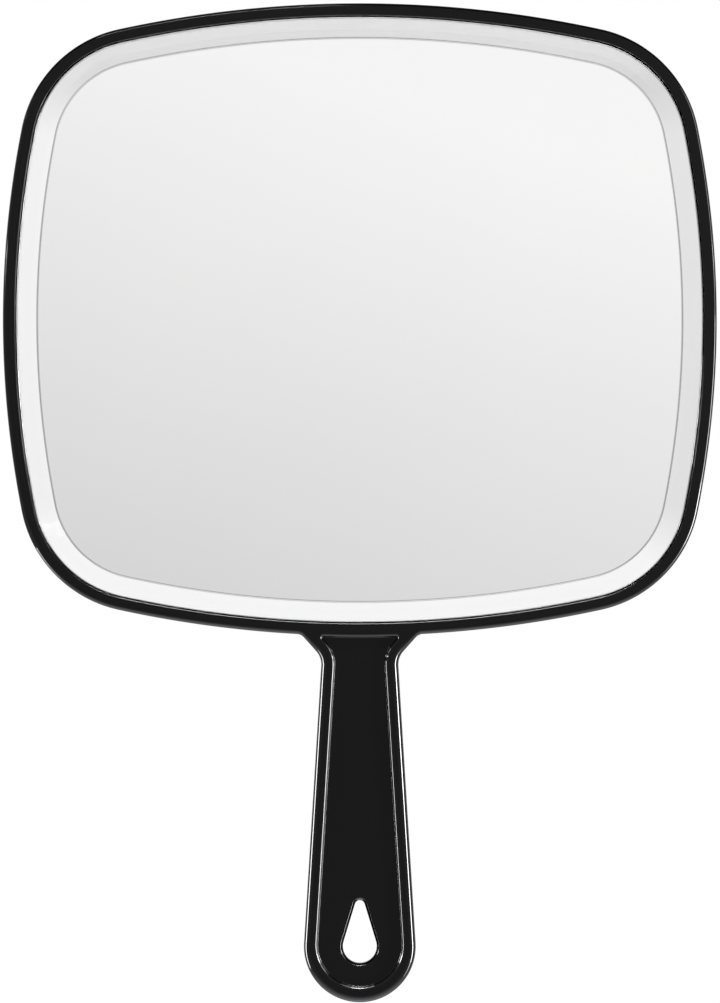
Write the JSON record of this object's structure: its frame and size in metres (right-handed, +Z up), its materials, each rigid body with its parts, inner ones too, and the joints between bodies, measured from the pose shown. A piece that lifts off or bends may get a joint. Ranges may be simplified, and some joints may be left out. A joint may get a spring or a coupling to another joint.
{
  "type": "hand mirror",
  "caption": "Large salon hand mirror: squared-oval bevelled mirror in a glossy black moulded frame with a tapered paddle handle and a teardrop hanging hole.",
  "frame": {"origin": "middle of the grip, on the centre line and halfway between the front and back planes", "axes": "+Z up the handle towards the head, -Y out of the mirror's face, +X to the right of a person looking into the mirror"},
  "size_m": [0.2254, 0.009, 0.3154],
  "materials": {
    "black_plastic": "glossy",
    "glass": "polished",
    "silver": "mirror",
    "backing_paint": "matte",
    "foam_tape": "matte"
  },
  "bodies": {
    "root": {"frame_and_handle": "black_plastic", "mirror_glass": "glass", "silver_layer": "silver", "backing_paint": "backing_paint", "foam_tape_top": "foam_tape", "foam_tape_centre": "foam_tape", "foam_tape_bottom": "foam_tape", "foam_tape_left": "foam_tape", "foam_tape_right": "foam_tape"}
  },
  "joints": []
}
